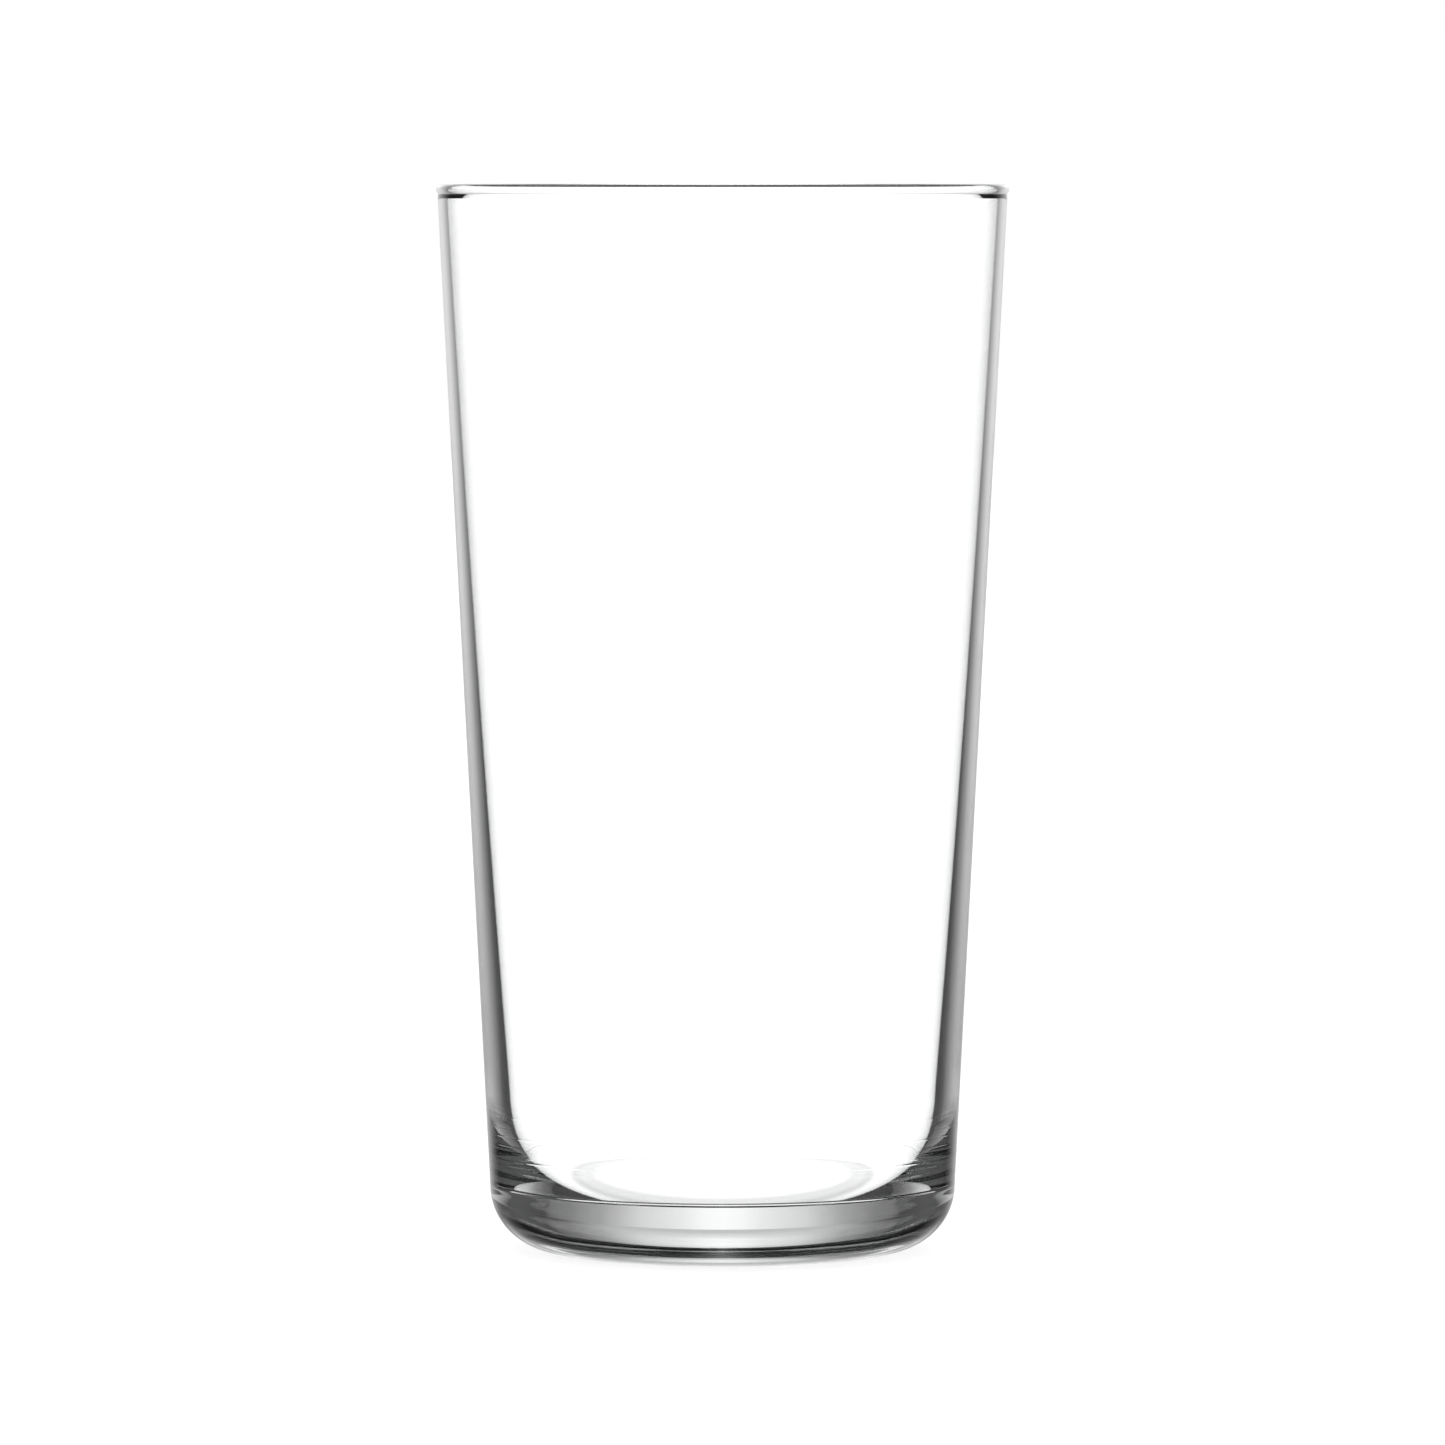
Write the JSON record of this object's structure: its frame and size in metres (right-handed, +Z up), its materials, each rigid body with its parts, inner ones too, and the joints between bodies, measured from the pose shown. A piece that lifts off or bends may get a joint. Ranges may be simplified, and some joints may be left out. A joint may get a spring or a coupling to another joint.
{
  "type": "pint glass",
  "caption": "Tall tapered drinking tumbler of clear glass with a rounded bead lip, a thin wall, a rounded heel and a thick solid base.",
  "frame": {"origin": "centre of the standing ring under the base, on the plane that the glass stands on", "axes": "+Z up along the glass's axis, from the base to the lip; the glass is round, so +X and +Y are any two directions across it"},
  "size_m": [0.0834, 0.0834, 0.1555],
  "materials": {
    "clear_glass": "clear, colourless, fire-polished soda-lime glass"
  },
  "bodies": {
    "root": {"glass_body": "clear_glass"}
  },
  "joints": []
}
